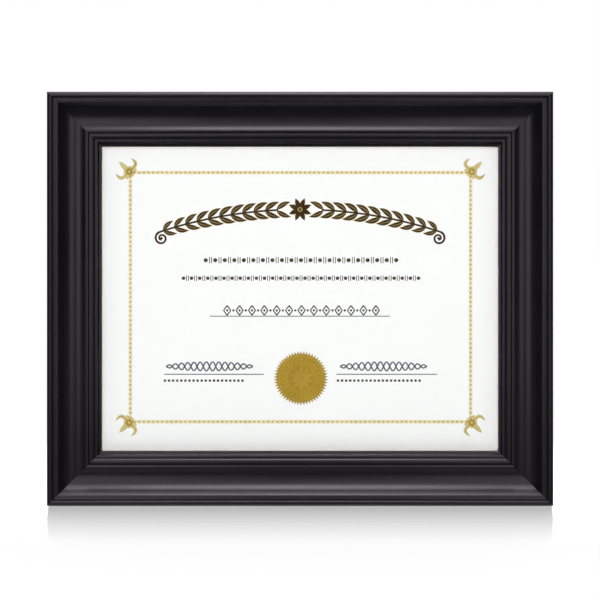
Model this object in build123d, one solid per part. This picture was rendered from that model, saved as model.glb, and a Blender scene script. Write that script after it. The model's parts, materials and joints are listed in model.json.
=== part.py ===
from build123d import *
import math
import os

# A certificate frame that stands on an easel leg, in millimetres and degrees.
# It is drawn lying face up: X runs to the right, Y up the frame and Z towards the viewer,
# from the frame's middle at its back plane. At the end it is tilted up to its standing lean.

# Printed sheet, what covers its edge and what clears it
sheet_width = 279.4
sheet_height = 215.9
lip_cover = 3.0
pocket_clearance = 0.8

# Layers in the pocket
glass_thickness = 2.0
seal_room = 0.4
sheet_thickness = 0.3
filler_thickness = 3.0
board_thickness = 3.0

# Moulding: overall section
rail_width = 37.7
rail_depth = 20.0

# Moulding: outer cap, with a bevelled side and a quirk after it
bevel_run = 2.2
bevel_drop = 2.3
bevel_bulge = 0.3
cap_flat = 1.0
cap_slope = 0.85
quirk_depth = 1.0

# Moulding: flat band and the fall from it to the scoop
band_rise = 0.4
band_bulge = 0.05
band_width = 3.0
band_drop = 0.35
fall_width = 2.0
fall_drop = 1.8
fall_bulge = 0.04
step_width = 0.5
step_drop = 0.45

# Moulding: scoop and the ridge at its inner end
scoop_sag = 3.9
ridge_width = 1.7

# Moulding: inner quirk, round bead, step bead and lip
inner_quirk_depth = 1.15
bead_width = 4.2
bead_drop = 0.5
bead_bulge = 0.85
bead_step_width = 0.3
bead_step_drop = 0.6
small_bead_run = 0.3
small_bead_rise = 0.5
small_bead_width = 1.9
small_bead_bulge = 0.12
lip_fall_run = 1.0
lip_fall_drop = 1.9
lip_fall_bulge = 0.06
lip_width = 1.8
lip_slope = 0.05

# Steel corner nails, driven into the back across each mitre
nail_arm = 6.0
nail_steel = 0.5
nail_height = 9.0
nail_sink = 0.3
nail_fit = 0.05
nail_outer_place = 9.0
nail_inner_place = 23.0

# Foil seal on the sheet
seal_radius = 18.9
seal_root_radius = 16.4
seal_teeth = 54
seal_thickness = 0.15
seal_above_edge = 52.8

# Turn buttons that hold the backing board, with their screws
button_from_pocket = 4.9
button_from_end = 62.0
button_reach = 14.5
button_round = 4.5
button_tip_round = 3.0
button_steel = 1.0
button_gap = 0.1
button_fit = 0.08
screw_radius = 1.3
screw_depth = 9.0
screw_head_radius = 2.9
screw_head_height = 1.7
screw_head_edge = 0.7
screw_fit = 0.05
cross_length = 3.0
cross_width = 0.7
cross_depth = 0.8

# Sawtooth hangers with two nails each
hanger_length = 45.0
hanger_width = 9.0
hanger_steel = 0.8
hanger_raise = 1.2
hanger_tab = 8.0
hanger_joggle = 2.0
hanger_from_edge = 4.0
hanger_gap = 0.05
tooth_pitch = 3.0
tooth_depth = 1.2
tooth_count = 7
hanger_nail_head_radius = 2.0
hanger_nail_head_height = 0.7
hanger_nail_head_edge = 0.3
hanger_nail_radius = 0.75
hanger_nail_depth = 9.0
hanger_nail_fit = 0.1

# Wall bumpers
bumper_radius = 4.75
bumper_thickness = 1.6
bumper_edge = 0.5
bumper_from_side = 22.0
bumper_from_bottom = 9.0

# Standing position
lean = 14.0
open_angle = 25.0

# Easel leg
hinge_height = 200.0
leg_thickness = 2.5
leg_top_width = 46.0
leg_foot_width = 78.0
leg_corner_round = 4.0
notch_width = 42.0
notch_rise = 5.0

# Leg hinge
hinge_width = 32.0
hinge_steel = 0.8
leaf_height = 15.0
leaf_corner_round = 2.0
knuckle_radius = 1.8
knuckle_gap = 0.3
leaf_gap = 0.1
pin_radius = 1.0
pin_fit = 0.05

# Rivets, shared by the hinge and the ribbon
rivet_radius = 1.2
rivet_head_radius = 2.6
rivet_head_height = 0.7
rivet_head_edge = 0.35
rivet_fit = 0.05
rivet_from_leaf_end = 5.0
rivet_spread = 20.0
rivet_board_depth = 2.4

# Stay ribbon, which stops the leg at its open angle
ribbon_width = 10.0
ribbon_thickness = 0.5
ribbon_gap = 0.2
ribbon_tab = 11.0
ribbon_bend = 1.6
ribbon_board_drop = 108.0
ribbon_stagger = 14.0

# One overrun serves every cut that runs past a face
overrun = 5.0

pocket_depth = glass_thickness + seal_room + sheet_thickness + filler_thickness + board_thickness
opening_width = sheet_width - 2 * lip_cover
opening_height = sheet_height - 2 * lip_cover
frame_width = opening_width + 2 * rail_width
frame_height = opening_height + 2 * rail_width
pocket_wall = rail_width - lip_cover - pocket_clearance
button_place = pocket_wall - button_from_pocket
sheet_front = pocket_depth - glass_thickness - seal_room
hinge_y = hinge_height - frame_height / 2
hinge_z = -(knuckle_radius + knuckle_gap)
leg_front = -(leaf_gap + hinge_steel)
leg_back = leg_front - leg_thickness
ribbon_leg_drop = ribbon_board_drop + ribbon_stagger
leg_length = hinge_height * math.cos(math.radians(lean)) / math.cos(math.radians(open_angle - lean))

# Solids placed by the middle of their back face
on_its_base = (Align.CENTER, Align.CENTER, Align.MIN)

# Each rail is drawn with X along it, Y inwards from its outer edge and Z towards the viewer.
# Its turn gives the side of the frame that it makes.
rail_turns = {"bottom": 0, "right": 90, "top": 180, "left": 270}


def rail_length(side):
    return frame_width if side in ("bottom", "top") else frame_height


def on_rail(side):
    # The place of a rail's own axes in the frame.
    half_span = (frame_height if side in ("bottom", "top") else frame_width) / 2
    return Rot(0, 0, rail_turns[side]) * Pos(0, -half_span, 0)


def moulding_section():
    # The rail's section: across it from the outer edge, and up from its back.
    cap_end = bevel_run + cap_flat
    quirk_level = rail_depth - quirk_depth
    band_start = cap_end + cap_slope
    band_level = rail_depth - band_drop
    band_flat_start = band_start + band_rise
    fall_start = band_flat_start + band_width
    step_start = fall_start + fall_width
    step_level = band_level - fall_drop
    scoop_start = step_start + step_width
    scoop_level = step_level - step_drop
    lip_start = rail_width - lip_width
    small_bead_end = lip_start - lip_fall_run
    small_bead_start = small_bead_end - small_bead_width
    step_foot = small_bead_start - small_bead_run
    bead_end = step_foot - bead_step_width
    bead_start = bead_end - bead_width
    scoop_end = bead_start - ridge_width
    inner_quirk_level = scoop_level - inner_quirk_depth
    bead_end_level = scoop_level - bead_drop
    step_bead_level = bead_end_level - bead_step_drop
    small_bead_level = step_bead_level + small_bead_rise
    lip_level = small_bead_level - lip_fall_drop
    with BuildSketch() as section:
        with BuildLine():
            Line((0, 0), (0, rail_depth - bevel_drop))
            SagittaArc((0, rail_depth - bevel_drop), (bevel_run, rail_depth), bevel_bulge)
            Polyline((bevel_run, rail_depth), (cap_end, rail_depth), (band_start, quirk_level))
            SagittaArc((band_start, quirk_level), (band_flat_start, band_level), band_bulge)
            Line((band_flat_start, band_level), (fall_start, band_level))
            SagittaArc((fall_start, band_level), (step_start, step_level), fall_bulge)
            Line((step_start, step_level), (scoop_start, scoop_level))
            SagittaArc((scoop_start, scoop_level), (scoop_end, scoop_level), -scoop_sag)
            Polyline(
                (scoop_end, scoop_level),
                (bead_start, scoop_level),
                (bead_start, inner_quirk_level),
            )
            SagittaArc((bead_start, inner_quirk_level), (bead_end, bead_end_level), bead_bulge)
            Polyline(
                (bead_end, bead_end_level),
                (step_foot, step_bead_level),
                (small_bead_start, small_bead_level),
            )
            SagittaArc(
                (small_bead_start, small_bead_level), (small_bead_end, small_bead_level), small_bead_bulge
            )
            SagittaArc((small_bead_end, small_bead_level), (lip_start, lip_level), lip_fall_bulge)
            Polyline(
                (lip_start, lip_level),
                (rail_width, lip_level - lip_slope),
                (rail_width, pocket_depth),
                (pocket_wall, pocket_depth),
                (pocket_wall, 0),
                (0, 0),
            )
        make_face()
    return section.sketch


def peg(radius, z_low, z_high):
    # A plain round solid between two heights.
    return Pos(0, 0, z_low) * Cylinder(radius, z_high - z_low, align=on_its_base)


def fastener(head_radius, head_height, head_edge, shank_radius, shank_length):
    # A fastener driven from behind: its head lies behind zero and its shank runs forward.
    head = peg(head_radius, -head_height, 0)
    head = fillet(head.edges().group_by(Axis.Z)[0], head_edge)
    return head + peg(shank_radius, -head_height / 2, shank_length)


def corner_nail(grow):
    # A bent steel corner nail, its outer bend at the origin and one arm in each rail.
    outline = Polyline(
        (grow, -grow),
        (-nail_arm - grow, -grow),
        (-nail_arm - grow, nail_steel + grow),
        (-nail_steel - grow, nail_steel + grow),
        (-nail_steel - grow, nail_arm + grow),
        (grow, nail_arm + grow),
        close=True,
    )
    return Pos(0, 0, nail_sink) * extrude(make_face(outline), amount=nail_height + grow)


def corner_nails(grow=0):
    # Two nails at the right end of each rail, one behind the other on the mitre.
    nails = []
    for side in rail_turns:
        for place in (nail_outer_place, nail_inner_place):
            spot = Pos(rail_length(side) / 2 - place, place, 0)
            nails.append(on_rail(side) * spot * corner_nail(grow))
    return nails


def button_spots():
    # Two buttons on the long rails and one on the short ones, named as seen from the front.
    offset = sheet_width / 2 - button_from_end
    spots = {}
    for side, turned in (("bottom", 1), ("top", -1)):
        spots[side + "_left"] = on_rail(side) * Pos(-offset * turned, button_place, 0)
        spots[side + "_right"] = on_rail(side) * Pos(offset * turned, button_place, 0)
    for side in ("left", "right"):
        spots[side] = on_rail(side) * Pos(0, button_place, 0)
    return spots


def turn_button():
    # A flat teardrop that turns about its round end and reaches over the board.
    ends = Circle(button_round) + Pos(0, button_reach - button_tip_round) * Circle(button_tip_round)
    blank = extrude(make_hull(ends.edges()), amount=-button_steel)
    bore = peg(screw_radius + button_fit, -button_steel - overrun, overrun)
    return Pos(0, 0, -button_gap) * (blank - bore)


def button_screw():
    # A round-headed cross-recess screw that the button turns on.
    under_head = button_steel + 2 * button_gap
    length = screw_depth + under_head
    screw = fastener(screw_head_radius, screw_head_height, screw_head_edge, screw_radius, length)
    slot = Box(cross_length, cross_width, 2 * cross_depth)
    crossing = Box(cross_width, cross_length, 2 * cross_depth)
    recess = Pos(0, 0, -screw_head_height) * (slot + crossing)
    return Pos(0, 0, -under_head) * (screw - recess)


def hanger():
    # A sawtooth hanger, drawn with X along the rail and Y inwards, teeth on the inner side.
    half = hanger_length / 2
    bar_half = half - hanger_tab - hanger_joggle
    near = [
        (-half, 0),
        (-half + hanger_tab, 0),
        (-bar_half, -hanger_raise),
        (bar_half, -hanger_raise),
        (half - hanger_tab, 0),
        (half, 0),
    ]
    far = [(x, z - hanger_steel) for x, z in reversed(near)]
    strip = extrude(Plane.XZ * make_face(Polyline(*near, *far, close=True)), amount=-hanger_width)
    teeth = [(-half, hanger_width)]
    for i in range(tooth_count):
        low = (i - tooth_count / 2) * tooth_pitch
        teeth += [(low, hanger_width), (low + tooth_pitch / 2, hanger_width - tooth_depth)]
    teeth += [(tooth_count / 2 * tooth_pitch, hanger_width), (half, hanger_width), (half, 0), (-half, 0)]
    depth = hanger_raise + hanger_steel + overrun
    outline = Pos(0, 0, -depth) * extrude(make_face(Polyline(*teeth, close=True)), amount=depth + overrun)
    plate = strip & outline
    for x in hanger_nail_spots():
        hole = peg(hanger_nail_radius + hanger_nail_fit, -depth, depth)
        plate -= Pos(x, hanger_width / 2, 0) * hole
    return Pos(0, hanger_from_edge, -hanger_gap) * plate


def hanger_nail_spots():
    offset = (hanger_length - hanger_tab) / 2
    return (-offset, offset)


def on_hanger_nails(side):
    # The places of a hanger's two nails.
    middle = hanger_from_edge + hanger_width / 2
    return [on_rail(side) * Pos(x, middle, 0) for x in hanger_nail_spots()]


def hanger_nail():
    under_head = hanger_steel + hanger_gap
    nail = fastener(
        hanger_nail_head_radius,
        hanger_nail_head_height,
        hanger_nail_head_edge,
        hanger_nail_radius,
        hanger_nail_depth + under_head,
    )
    return Pos(0, 0, -under_head) * nail


def rail(side):
    # A mitred length of moulding, with the holes and slots for what is driven into its back.
    length = rail_length(side)
    start = Plane(origin=(-length / 2, 0, 0), x_dir=(0, 1, 0), z_dir=(1, 0, 0))
    blank = extrude(start * moulding_section(), amount=length)
    mitre = Polyline(
        (-length / 2, 0),
        (length / 2, 0),
        (length / 2 - rail_width, rail_width),
        (-length / 2 + rail_width, rail_width),
        close=True,
    )
    blank = on_rail(side) * (blank & extrude(make_face(mitre), amount=rail_depth))
    for slot in corner_nails(nail_fit):
        blank -= slot
    pilot = peg(screw_radius + screw_fit, -overrun, screw_depth + screw_fit)
    for name, spot in button_spots().items():
        if name.startswith(side):
            blank -= spot * pilot
    pilot = peg(hanger_nail_radius + nail_fit, -overrun, hanger_nail_depth + nail_fit)
    if side in ("top", "left"):
        for spot in on_hanger_nails(side):
            blank -= spot * pilot
    return blank


def layer(back, thickness):
    # A flat layer of the sheet's size, by its back face.
    return Pos(0, 0, back) * Box(sheet_width, sheet_height, thickness, align=on_its_base)


def foil_seal():
    # A round seal with a toothed edge, on the front of the sheet.
    points = []
    for i in range(2 * seal_teeth):
        angle = math.pi * i / seal_teeth
        radius = seal_root_radius if i % 2 else seal_radius
        points.append((radius * math.sin(angle), radius * math.cos(angle)))
    disc = extrude(make_face(Polyline(*points, close=True)), amount=seal_thickness)
    return Pos(0, seal_above_edge - sheet_height / 2, sheet_front) * disc


def opened(shape):
    # Swings a piece of the leg from flat against the board to its open angle.
    about = Pos(0, hinge_y, hinge_z)
    return about * Rot(open_angle, 0, 0) * about.inverse() * shape


def opened_point(y, z):
    turn = math.radians(open_angle)
    from_hinge_y, from_hinge_z = y - hinge_y, z - hinge_z
    return (
        hinge_y + from_hinge_y * math.cos(turn) - from_hinge_z * math.sin(turn),
        hinge_z + from_hinge_y * math.sin(turn) + from_hinge_z * math.cos(turn),
    )


def rivet(grip):
    # A flat-headed rivet with a shank as long as what it holds.
    return fastener(rivet_head_radius, rivet_head_height, rivet_head_edge, rivet_radius, grip)


def rivet_hole():
    reach = leg_thickness + hinge_steel + board_thickness + overrun
    return peg(rivet_radius + rivet_fit, -reach, reach)


def leaf_rivet_spots(direction):
    # Two rivets across a hinge leaf that runs up or down from the hinge.
    y = hinge_y + direction * (leaf_height - rivet_from_leaf_end)
    return [Pos(x, y, 0) for x in (-rivet_spread / 2, rivet_spread / 2)]


def knuckles():
    # The spans of the three knuckles along the hinge.
    length = (hinge_width - 2 * knuckle_gap) / 3
    step = length + knuckle_gap
    return [(i * step - length / 2, i * step + length / 2) for i in (-1, 0, 1)]


def knuckle(span):
    low, high = span
    barrel = Plane.YZ * (Circle(knuckle_radius) - Circle(pin_radius + pin_fit))
    return Pos(low, hinge_y, hinge_z) * extrude(barrel, amount=high - low)


def hinge_leaf(direction, front, own, others):
    # A leaf from the hinge line up or down, with its own knuckles and room for the others.
    plate = Rectangle(hinge_width, leaf_height, align=(Align.CENTER, Align.MIN))
    far_corners = plate.vertices().group_by(Axis.Y)[-1]
    plate = extrude(fillet(far_corners, leaf_corner_round), amount=-hinge_steel)
    if direction < 0:
        plate = Rot(0, 0, 180) * plate
    leaf = Pos(0, hinge_y, front) * plate
    clear = knuckle_radius + knuckle_gap
    for low, high in others:
        room = Box(high - low + 2 * knuckle_gap, 2 * clear, 2 * clear)
        leaf -= Pos((low + high) / 2, hinge_y, hinge_z + clear / 2) * room
    for span in own:
        leaf += knuckle(span)
    bore = Plane.YZ * Circle(pin_radius + pin_fit)
    leaf -= Pos(-hinge_width, hinge_y, hinge_z) * extrude(bore, amount=2 * hinge_width)
    for spot in leaf_rivet_spots(direction):
        leaf -= spot * rivet_hole()
    return leaf


def hinge_pin():
    pin = extrude(Plane.YZ * Circle(pin_radius), amount=hinge_width)
    return Pos(-hinge_width / 2, hinge_y, hinge_z) * pin


def leg_blank():
    # The leg flat against the board, tapering to a wide foot that is still uncut.
    top = hinge_y - knuckle_radius - knuckle_gap
    foot = hinge_y - leg_length
    outline = Polyline(
        (-leg_top_width / 2, top),
        (leg_top_width / 2, top),
        (leg_foot_width / 2, foot),
        (leg_foot_width / 2, foot - overrun),
        (-leg_foot_width / 2, foot - overrun),
        (-leg_foot_width / 2, foot),
        close=True,
    )
    face = make_face(outline)
    face = fillet(face.vertices().group_by(Axis.Y)[-1], leg_corner_round)
    blank = Pos(0, 0, leg_front) * extrude(face, amount=-leg_thickness)
    notch = make_face(
        Polyline(
            (notch_width / 2, foot),
            (notch_width / 2, foot - 2 * overrun),
            (-notch_width / 2, foot - 2 * overrun),
            (-notch_width / 2, foot),
        )
        + SagittaArc((-notch_width / 2, foot), (notch_width / 2, foot), notch_rise)
    )
    blank -= Pos(0, 0, leg_back - overrun) * extrude(notch, amount=leg_thickness + 2 * overrun)
    for spot in leaf_rivet_spots(-1):
        blank -= spot * rivet_hole()
    return blank - Pos(0, hinge_y - ribbon_leg_drop, 0) * rivet_hole()


def easel_leg():
    # The opened leg, cut off square with the floor.
    floor_tilt = math.radians(lean)
    floor = Plane(
        origin=(0, -frame_height / 2, 0),
        x_dir=(1, 0, 0),
        z_dir=(0, math.cos(floor_tilt), math.sin(floor_tilt)),
    )
    return split(opened(leg_blank()), bisect_by=floor, keep=Keep.TOP)


def stay_ribbon():
    # A woven ribbon from the board to the leg, its ends lying flat under their rivets.
    off_face = ribbon_gap + ribbon_thickness / 2
    board_end = hinge_y - ribbon_board_drop + ribbon_tab / 2
    leg_end = hinge_y - ribbon_leg_drop + ribbon_tab / 2
    leg_side = leg_front + off_face
    points = [
        (0, board_end, -off_face),
        (0, board_end - ribbon_tab, -off_face),
        (0, *opened_point(leg_end - ribbon_tab, leg_side)),
        (0, *opened_point(leg_end, leg_side)),
    ]
    path = FilletPolyline(*points, radius=ribbon_bend)
    across = Plane(origin=path @ 0, x_dir=(1, 0, 0), z_dir=path % 0)
    ribbon = sweep(across * Rectangle(ribbon_width, ribbon_thickness), path=path)
    hole = peg(rivet_radius + rivet_fit, -overrun, overrun)
    ribbon -= Pos(0, hinge_y - ribbon_board_drop, 0) * hole
    return ribbon - opened(Pos(0, hinge_y - ribbon_leg_drop, leg_front) * hole)


def ribbon_board_rivet():
    grip = ribbon_gap + ribbon_thickness + ribbon_gap
    return Pos(0, hinge_y - ribbon_board_drop, -grip) * rivet(grip + rivet_board_depth)


def ribbon_leg_rivet():
    # Its head shows behind the leg and its closed end holds the ribbon in front.
    grip = leg_thickness + ribbon_gap + ribbon_thickness + ribbon_gap
    closed_end = peg(rivet_head_radius, grip, grip + rivet_head_height)
    closed_end = fillet(closed_end.edges().group_by(Axis.Z)[-1], rivet_head_edge)
    spot = Pos(0, hinge_y - ribbon_leg_drop, leg_back)
    return opened(spot * (rivet(grip + rivet_head_height / 2) + closed_end))


def backing_board():
    board = layer(0, board_thickness)
    hole = peg(rivet_radius + rivet_fit, -overrun, rivet_board_depth + rivet_fit)
    for spot in leaf_rivet_spots(1):
        board -= spot * hole
    return board - Pos(0, hinge_y - ribbon_board_drop, 0) * hole


def wall_bumpers():
    bumper = peg(bumper_radius, -bumper_thickness, 0)
    bumper = fillet(bumper.edges().group_by(Axis.Z)[0], bumper_edge)
    offset = frame_width / 2 - bumper_from_side
    return [on_rail("bottom") * Pos(x, bumper_from_bottom, 0) * bumper for x in (-offset, offset)]


def all_pieces():
    # Every named piece of the frame, lying face up.
    outer_spans, middle_span = knuckles()[::2], knuckles()[1:2]
    board_grip = hinge_steel + rivet_board_depth
    leg_grip = leg_thickness + hinge_steel
    pieces = {"rail_" + side: rail(side) for side in rail_turns}
    pieces["corner_nails"] = Compound(corner_nails())
    pieces["glass_pane"] = layer(pocket_depth - glass_thickness, glass_thickness)
    pieces["certificate_sheet"] = layer(sheet_front - sheet_thickness, sheet_thickness)
    pieces["foil_seal"] = foil_seal()
    pieces["filler_sheet"] = layer(board_thickness, filler_thickness)
    pieces["backing_board"] = backing_board()
    pieces["easel_leg"] = easel_leg()
    pieces["hinge_board_leaf"] = hinge_leaf(1, 0, outer_spans, middle_span)
    pieces["hinge_leg_leaf"] = opened(hinge_leaf(-1, -leaf_gap, middle_span, outer_spans))
    pieces["hinge_pin"] = hinge_pin()
    pieces["hinge_board_rivets"] = Compound(
        [spot * Pos(0, 0, -hinge_steel) * rivet(board_grip) for spot in leaf_rivet_spots(1)]
    )
    pieces["hinge_leg_rivets"] = Compound(
        [opened(spot * Pos(0, 0, leg_back) * rivet(leg_grip)) for spot in leaf_rivet_spots(-1)]
    )
    pieces["stay_ribbon"] = stay_ribbon()
    pieces["ribbon_board_rivet"] = ribbon_board_rivet()
    pieces["ribbon_leg_rivet"] = ribbon_leg_rivet()
    for name, spot in button_spots().items():
        pieces["turn_button_" + name] = spot * turn_button()
    pieces["turn_button_screws"] = Compound([spot * button_screw() for spot in button_spots().values()])
    pieces["sawtooth_hanger_top"] = on_rail("top") * hanger()
    pieces["sawtooth_hanger_side"] = on_rail("left") * hanger()
    pieces["hanger_nails"] = Compound(
        [spot * hanger_nail() for side in ("top", "left") for spot in on_hanger_nails(side)]
    )
    pieces["wall_bumpers"] = Compound(wall_bumpers())
    return pieces


# The frame is tilted up about its lower back edge, and then set with the middle of its
# footprint at the origin and its lowest point on the floor.
tilt_up = Rot(90 - lean, 0, 0) * Pos(0, frame_height / 2, 0)
standing = {name: tilt_up * piece for name, piece in all_pieces().items()}
box = Compound(list(standing.values())).bounding_box()
to_origin = Pos(-(box.min.X + box.max.X) / 2, -(box.min.Y + box.max.Y) / 2, -box.min.Z)

os.makedirs("parts", exist_ok=True)
for name, piece in standing.items():
    export_step(to_origin * piece, "parts/" + name + ".step")

# The places that the joints and mounts need, in the part's own standing axes
place = to_origin * tilt_up
hinge_spot = (place * Pos(0, hinge_y, hinge_z)).position
print("leg hinge", tuple(round(c, 3) for c in hinge_spot))
for name, spot in button_spots().items():
    print("button", name, tuple(round(c, 3) for c in (place * spot).position))
for side in ("top", "left"):
    spot = place * on_rail(side) * Pos(0, hanger_from_edge + hanger_width, -hanger_raise)
    print("hanger", side, tuple(round(c, 3) for c in spot.position))
foot_spot = place * Pos(0, *opened_point(hinge_y - leg_length, (leg_front + leg_back) / 2))
print("foot", tuple(round(c, 3) for c in foot_spot.position))
edge_spot = place * Pos(0, -frame_height / 2, rail_depth / 2)
print("bottom edge", tuple(round(c, 3) for c in edge_spot.position))
print("outer size", round(frame_width, 2), round(frame_height, 2), "box", box.size)
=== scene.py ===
import json
import math

import bpy
from mathutils import Matrix, Vector


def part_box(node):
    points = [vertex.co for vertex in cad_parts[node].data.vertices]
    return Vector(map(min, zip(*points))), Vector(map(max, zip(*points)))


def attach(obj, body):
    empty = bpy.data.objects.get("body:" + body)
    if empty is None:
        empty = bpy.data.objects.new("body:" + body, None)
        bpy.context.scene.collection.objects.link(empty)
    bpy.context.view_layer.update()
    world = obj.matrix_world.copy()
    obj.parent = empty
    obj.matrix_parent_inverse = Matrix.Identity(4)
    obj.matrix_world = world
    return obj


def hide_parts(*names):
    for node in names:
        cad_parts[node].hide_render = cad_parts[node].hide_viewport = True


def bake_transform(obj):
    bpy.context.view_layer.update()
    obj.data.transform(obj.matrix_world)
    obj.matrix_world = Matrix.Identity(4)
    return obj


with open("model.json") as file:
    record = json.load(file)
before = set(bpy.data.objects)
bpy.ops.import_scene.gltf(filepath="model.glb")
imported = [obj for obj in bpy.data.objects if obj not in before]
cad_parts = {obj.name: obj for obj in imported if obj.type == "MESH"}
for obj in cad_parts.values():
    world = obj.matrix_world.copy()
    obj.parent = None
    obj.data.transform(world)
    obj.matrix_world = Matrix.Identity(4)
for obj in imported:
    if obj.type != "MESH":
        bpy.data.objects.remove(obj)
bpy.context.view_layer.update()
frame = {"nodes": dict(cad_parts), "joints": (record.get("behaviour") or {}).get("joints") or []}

# The frame is drawn lying face up, in metres: X to the right, Y up the frame, Z towards the viewer.
# Its own axes come from the turn buttons' pivots, which lie on the back plane.
mm = 0.001


def jointNamed(name):
    return next(joint for joint in frame["joints"] if joint["name"] == name)


leftTurn, rightTurn = jointNamed("turn_left"), jointNamed("turn_right")
towardViewer = -Vector(leftTurn["axis"]).normalized()
upTheFrame = towardViewer.cross(Vector((1, 0, 0))).normalized()
frameMiddle = (Vector(leftTurn["pos_m"]) + Vector(rightTurn["pos_m"])) / 2
standing = Matrix((
    (1, upTheFrame.x, towardViewer.x, frameMiddle.x),
    (0, upTheFrame.y, towardViewer.y, frameMiddle.y),
    (0, upTheFrame.z, towardViewer.z, frameMiddle.z),
    (0, 0, 0, 1),
))
leanAngle = math.asin(towardViewer.z)

frameSizes = {
    "sheetWidth": 279.4 * mm, "sheetHeight": 215.9 * mm, "lipCover": 3.0 * mm, "pocketClearance": 0.8 * mm,
    "railWidth": 37.7 * mm, "railDepth": 20.0 * mm, "pocketDepth": 8.7 * mm, "sheetFront": 6.3 * mm,
}
pocketWall = frameSizes["railWidth"] - frameSizes["lipCover"] - frameSizes["pocketClearance"]
frameWidth = frameSizes["sheetWidth"] - 2 * frameSizes["lipCover"] + 2 * frameSizes["railWidth"]
frameHeight = frameSizes["sheetHeight"] - 2 * frameSizes["lipCover"] + 2 * frameSizes["railWidth"]

# Where the frame's edges are in the photograph, in pixels of its 600 by 600, and how much smaller the
# sheet looks, because it lies deeper than the face
photoEdges = {"side": 600, "left": 46.65, "right": 553.45, "top": 91.8, "bottom": 505.85, "sheet": 1.0046}
perPixel = frameWidth / (photoEdges["right"] - photoEdges["left"])
photoMiddle = Vector((photoEdges["left"] + photoEdges["right"], photoEdges["top"] + photoEdges["bottom"])) / 2


def atPixel(x, y):
    # a place on the sheet, in the frame's own axes
    centre = photoEdges["side"] / 2
    seen = [centre + (value - centre) * photoEdges["sheet"] for value in (x, y)]
    return Vector(((seen[0] - photoMiddle.x) * perPixel, (photoMiddle.y - seen[1]) * perPixel, 0))


print("stage: helpers")


def deselectAll():
    if bpy.context.object and bpy.context.object.mode != "OBJECT":
        bpy.ops.object.mode_set(mode="OBJECT")
    bpy.ops.object.select_all(action="DESELECT")


def onlySelect(piece):
    deselectAll()
    piece.select_set(True)
    bpy.context.view_layer.objects.active = piece


def removed(piece):
    onlySelect(piece)
    bpy.ops.object.delete()


def editAll(piece):
    onlySelect(piece)
    bpy.ops.object.mode_set(mode="EDIT")
    bpy.ops.mesh.select_all(action="SELECT")


def toObject():
    bpy.ops.object.mode_set(mode="OBJECT")


def applyPlace(piece):
    onlySelect(piece)
    bpy.ops.object.transform_apply(location=True, rotation=True, scale=True)
    return piece


def copyOf(piece, name):
    onlySelect(piece)
    bpy.ops.object.duplicate(linked=False)
    bpy.context.object.name = name
    return bpy.context.object


def joined(parts, name):
    deselectAll()
    for part in parts:
        part.select_set(True)
    bpy.context.view_layer.objects.active = parts[0]
    if len(parts) > 1:
        bpy.ops.object.join()
    parts[0].name = name
    return parts[0]


def applied(piece, kind, **settings):
    onlySelect(piece)
    bpy.ops.object.modifier_add(type=kind)
    modifier = piece.modifiers[-1]
    for key, value in settings.items():
        setattr(modifier, key, value)
    bpy.ops.object.modifier_apply(modifier=modifier.name)
    return piece


def smoothByAngle(piece, degrees):
    onlySelect(piece)
    bpy.ops.object.shade_smooth_by_angle(angle=math.radians(degrees))
    return piece


def recalculated(piece):
    editAll(piece)
    bpy.ops.mesh.remove_doubles(threshold=1e-7)
    bpy.ops.mesh.normals_make_consistent(inside=False)
    toObject()
    return piece


def drawChain(name, points):
    # a line of edges through the points, drawn by pulling one vertex along
    deselectAll()
    bpy.ops.mesh.primitive_plane_add(size=mm, location=points[0])
    piece = bpy.context.object
    piece.name = name
    bpy.ops.object.mode_set(mode="EDIT")
    bpy.ops.mesh.select_all(action="SELECT")
    bpy.ops.mesh.merge(type="CENTER")
    for before, after in zip(points, points[1:]):
        bpy.ops.mesh.extrude_region_move(TRANSFORM_OT_translate={"value": Vector(after) - Vector(before)})
    toObject()
    return applyPlace(piece)


def drawPrism(name, points, rise):
    # a closed outline, filled and pulled up into a solid
    piece = drawChain(name, points)
    editAll(piece)
    bpy.ops.mesh.edge_face_add()
    bpy.ops.mesh.extrude_region_move(TRANSFORM_OT_translate={"value": rise})
    toObject()
    return recalculated(piece)


def turned(piece, matrix):
    piece.matrix_world = matrix @ piece.matrix_world
    return applyPlace(piece)


def arcPoints(start, end, bulge, steps):
    # points after start on a round arc that swells to the left of the way by bulge
    start, end = Vector(start), Vector(end)
    chord = end - start
    radius = (chord.length ** 2 / 4 + bulge ** 2) / (2 * abs(bulge))
    left = Vector((-chord.y, chord.x)).normalized() * (1 if bulge > 0 else -1)
    centre = (start + end) / 2 - left * (radius - abs(bulge))
    half = math.asin(min(1, chord.length / 2 / radius))
    along = chord.normalized()
    angles = [-half + 2 * half * i / steps for i in range(1, steps + 1)]
    return [centre + left * radius * math.cos(angle) + along * radius * math.sin(angle) for angle in angles]


def softenedCopy(node, ease, segments):
    # a CAD piece's own shape, merged and with its edges eased, to stand for it
    mesh = frame["nodes"][node].data.copy()
    piece = bpy.data.objects.new(node + "_eased", mesh)
    bpy.context.collection.objects.link(piece)
    editAll(piece)
    bpy.ops.mesh.remove_doubles(threshold=2e-6)
    bpy.ops.mesh.dissolve_limited(angle_limit=math.radians(1))
    toObject()
    applied(piece, "BEVEL", width=ease, segments=segments, limit_method="ANGLE", angle_limit=math.radians(40),
            use_clamp_overlap=True, miter_outer="MITER_SHARP")
    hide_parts(node)
    return smoothByAngle(piece, 35)


def dressed(piece, body, paint):
    piece.data.materials.clear()
    piece.data.materials.append(paints[paint])
    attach(piece, body)
    return piece


print("stage: materials")


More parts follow.
